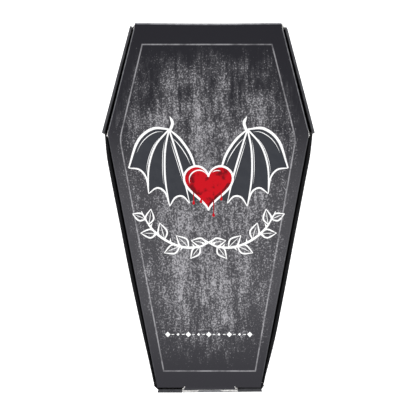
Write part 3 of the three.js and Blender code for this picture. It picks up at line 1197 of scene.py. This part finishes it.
def side_flap(name, node, side, edge):
    """A flap hanging from its crease, with rounded lower corners."""
    low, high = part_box(node)
    corners = [v.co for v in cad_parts[node].data.vertices]
    deep = [p for p in corners if p.z < low.z + 1 * MM]
    shallow = [p for p in corners if p.z > high.z - 1 * MM]
    outline = rounded([
        (max(p.y for p in shallow), TOP - FLAP_TOP),
        (max(p.y for p in deep), low.z),
        (min(p.y for p in deep), low.z),
        (min(p.y for p in shallow), TOP - FLAP_TOP),
    ], 1.8 * MM)

    def place(y, z, depth):
        return on_carton(side, edge.x(y, FLAP_FACE - depth), y, z)

    flap = plate(name, outline, place)
    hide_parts(node)
    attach(flap, node)


TAB_ROOT = 0.4 * MM  # how far the tab's side cuts run into the lid
TAB_ROOT_HALF = 9.0 * MM
TAB_FOLD_HALF = 9.55 * MM
TAB_BEND = 0.22 * MM
TAB_CORNER = 1.6 * MM
TAB_FACE = 0.85 * MM  # from the lid's foot edge to the tab's outer face


def lock_tab():
    """The tab, folded down from the lid's foot edge into the slot, with slanted side cuts."""

    def path_at(x):
        near_end = max(0.0, (abs(x) - (TAB_FOLD_HALF - TAB_CORNER)) / TAB_CORNER)
        bottom = TAB_LOW.z + TAB_CORNER * (1 - math.sqrt(max(0.0, 1 - near_end ** 2)))
        out = TAB_FACE - HALF
        path = [(-TAB_ROOT, TOP - HALF, 0.0)]
        path += arc(out - TAB_BEND, TOP - HALF - TAB_BEND, TAB_BEND, 90, 0, 6, 0.3)
        path.append((out, TOP - 2.0 * MM, 0.0))
        path.append((out, bottom, 0.0))
        return path[::-1]

    def place(x, u, z):
        spread = lerp(TAB_ROOT_HALF / TAB_FOLD_HALF, 1.0, ramp(u, -TAB_ROOT, 0.6 * MM))
        return at_foot(x * spread, LID_FOOT_Y - u, z)

    stations = steps_between(-TAB_FOLD_HALF, TAB_FOLD_HALF, 0.8 * MM)
    tab = strip_of_board("carton_lock_tab", stations, path_at, place, MARGIN_MATERIALS, (0.05, 0.05))
    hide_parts("lock_tab")
    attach(tab, "lid")


def lid_and_flaps():
    lid_panel()
    lock_tab()
    for side, label in ((-1, "left"), (1, "right")):
        # The creases' light lines are rubbed print with a painted highlight, stronger on the upper creases.
        for part, edge, wear_and_highlight in (("upper", UPPER_EDGE, 0.62), ("lower", LOWER_EDGE, 0.14)):
            node = f"{part}_flap_{label}"
            side_flap(f"carton_{node}", node, side, edge)
            side_crease(f"carton_{part}_crease_{label}", side, edge, node, wear_and_highlight)


# The studio

def area_light(name, place, size, power):
    """A rectangular soft light that shines on the carton."""
    light = bpy.data.lights.new(name, "AREA")
    light.shape = "RECTANGLE"
    light.size, light.size_y = size
    light.energy = power
    obj = bpy.data.objects.new(name, light)
    obj.location = place
    obj.rotation_euler = (-Vector(place)).to_track_quat("-Z", "Y").to_euler()
    bpy.context.scene.collection.objects.link(obj)


FLOOR_Z = 0.02 * MM  # a hair above the carton's underside, so that its back shows from below
FLOOR_REACH = 3.0
FLOOR_GREY = 0.92
FLOOR_GLOW = 0.8
SKY_STRENGTH = 0.26
WHITE_LIGHT = (1, 1, 1, 1)


def studio_floor():
    mesh = bpy.data.meshes.new("studio_floor")
    corners = [(x * FLOOR_REACH, y * FLOOR_REACH, FLOOR_Z) for x, y in ((-1, -1), (1, -1), (1, 1), (-1, 1))]
    mesh.from_pydata(corners, [], [(0, 1, 2, 3)])
    floor = bpy.data.objects.new("studio_floor", mesh)
    bpy.context.scene.collection.objects.link(floor)
    material, shader, _ = new_material("studio_floor")
    shader.inputs["Base Color"].default_value = grey(FLOOR_GREY)
    shader.inputs["Roughness"].default_value = 0.9
    shader.inputs["Emission Color"].default_value = WHITE_LIGHT
    shader.inputs["Emission Strength"].default_value = FLOOR_GLOW
    mesh.materials.append(material)


def studio():
    """A pale floor under an even sky, with a large soft light above and one past the head end."""
    studio_floor()
    world = bpy.data.worlds.new("studio")
    world.use_nodes = True
    background = world.node_tree.nodes["Background"]
    background.inputs["Color"].default_value = WHITE_LIGHT
    background.inputs["Strength"].default_value = SKY_STRENGTH
    bpy.context.scene.world = world
    area_light("overhead_softbox", (0, -0.5, 1.4), (1.4, 1.0), 22)
    area_light("head_softbox", (0, 1.2, 0.8), (1.2, 0.5), 8)


PIXEL = 0.3514 * MM  # one pixel of a 416 by 416 picture, at the lid's face
VIEW_MIDDLE = (-0.1 * MM, -0.07 * MM)
PICTURE = 416
LENS = 200
SENSOR = 36


def camera():
    data = bpy.data.cameras.new("camera")
    data.lens = LENS
    data.sensor_width = SENSOR
    distance = PIXEL * PICTURE * LENS / SENSOR
    data.clip_start, data.clip_end = 0.05, 20
    obj = bpy.data.objects.new("camera", data)
    obj.location = (*VIEW_MIDDLE, TOP + distance)
    bpy.context.scene.collection.objects.link(obj)
    bpy.context.scene.camera = obj
    bpy.context.scene.view_settings.view_transform = "Standard"


camera()
studio()
floor_panel()
tray_walls()
head_wall()
corner_webs()
foot_wall()
head_hinge()
lid_and_flaps()
